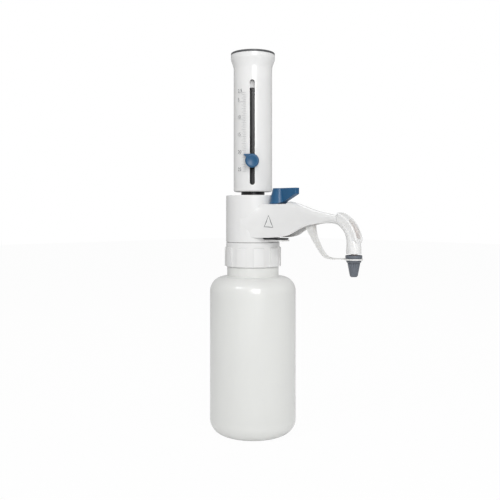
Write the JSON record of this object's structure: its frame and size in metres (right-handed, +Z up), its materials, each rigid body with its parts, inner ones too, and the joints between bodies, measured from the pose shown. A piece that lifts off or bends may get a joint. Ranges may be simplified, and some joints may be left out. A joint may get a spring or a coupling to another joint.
{
  "type": "bottle-top dispenser",
  "caption": "Piston dispenser on a reservoir bottle: slotted plunger sleeve with volume slider, valve lever, curved discharge arm with a capped nozzle, and a telescopic suction tube.",
  "frame": {"origin": "centre of the flat base of the reservoir bottle", "axes": "+Z up along the bottle's axis, +X along the discharge arm towards the nozzle, +Y to the arm's left seen from above with the arm pointing away"},
  "size_m": [0.1732, 0.0826, 0.364],
  "materials": {
    "natural_plastic": "translucent, satin",
    "white_plastic": "smooth, glossy",
    "block_plastic": "satin",
    "seal_plastic": "smooth, waxy",
    "dark_plastic": "polished",
    "grey_plastic": "satin",
    "blue_plastic": "smooth, glossy",
    "cap_plastic": "satin",
    "strap_plastic": "satin",
    "tube_plastic": "satin",
    "clear_tube": "translucent",
    "clear_glass": "clear",
    "ring_rubber": "matte",
    "spring_steel": "bright"
  },
  "bodies": {
    "bottle": {"bottle": "natural_plastic", "neck_gasket": "ring_rubber", "screw_collar": "white_plastic"},
    "head": {"valve_block": "block_plastic", "suction_nipple": "block_plastic", "inlet_valve_seat": "block_plastic", "discharge_valve_seat": "block_plastic", "discharge_valve_spring": "spring_steel", "discharge_valve_plug": "block_plastic", "glass_barrel": "clear_glass", "barrel_ring": "ring_rubber", "barrel_nut": "block_plastic", "barrel_jacket": "dark_plastic", "stop_ring": "white_plastic", "housing": "white_plastic", "spindle_ring": "ring_rubber", "discharge_tube": "tube_plastic", "tube_ferrule": "block_plastic", "nozzle": "tube_plastic", "upper_suction_tube": "clear_tube", "return_tube": "clear_tube", "tether_clip": "strap_plastic", "tether_strap": "strap_plastic"},
    "plunger": {"piston_seal": "seal_plastic", "piston_rod": "seal_plastic", "sleeve": "white_plastic", "head_plate": "block_plastic", "calibration_nut": "grey_plastic", "top_disc": "grey_plastic"},
    "slider": {"slider_plate": "blue_plastic", "slider_foot": "blue_plastic"},
    "knob": {"slider_screw": "spring_steel", "slider_knob": "blue_plastic"},
    "lever": {"valve_spindle": "block_plastic", "valve_lever": "blue_plastic"},
    "cap": {"nozzle_cap": "cap_plastic", "cap_ring": "strap_plastic"},
    "lower_tube": {"lower_suction_tube": "clear_tube"},
    "inlet_ball": {"inlet_valve_ball": "clear_glass"},
    "discharge_ball": {"discharge_valve_ball": "clear_glass"}
  },
  "joints": [
    {"name": "head_swivel", "type": "hinge", "parent": "bottle", "child": "head", "pos_m": [0, 0, 0.18], "axis": [0, 0, 1], "continuous": true},
    {"name": "plunger_lift", "type": "slide", "parent": "head", "child": "plunger", "axis": [0, 0, 1], "range_m": [0, 0.0825]},
    {"name": "slider_travel", "type": "slide", "parent": "plunger", "child": "slider", "axis": [0, 0, 1], "range_m": [-0.0165, 0.0577]},
    {"name": "knob_turn", "type": "hinge", "parent": "slider", "child": "knob", "pos_m": [0.01478, -0.01478, 0.259], "axis": [0.7071, -0.7071, 0], "range_deg": [0, 360]},
    {"name": "lever_turn", "type": "hinge", "parent": "head", "child": "lever", "pos_m": [0.0352, 0, 0.2188], "axis": [0, 0, 1], "range_deg": [0, 90]},
    {"name": "cap_pull", "type": "slide", "parent": "head", "child": "cap", "axis": [0, 0, -1], "range_m": [0, 0.014], "deforming": ["tether_strap"]},
    {"name": "suction_telescope", "type": "slide", "parent": "head", "child": "lower_tube", "axis": [0, 0, 1], "range_m": [0, 0.055]},
    {"name": "inlet_ball_lift", "type": "slide", "parent": "head", "child": "inlet_ball", "axis": [0, 0, 1], "range_m": [0, 0.002]},
    {"name": "discharge_ball_lift", "type": "slide", "parent": "head", "child": "discharge_ball", "axis": [0, 0, 1], "range_m": [0, 0.0012], "stiffness_N_per_m": 20, "springref_m": -0.001, "deforming": ["discharge_valve_spring"]}
  ]
}
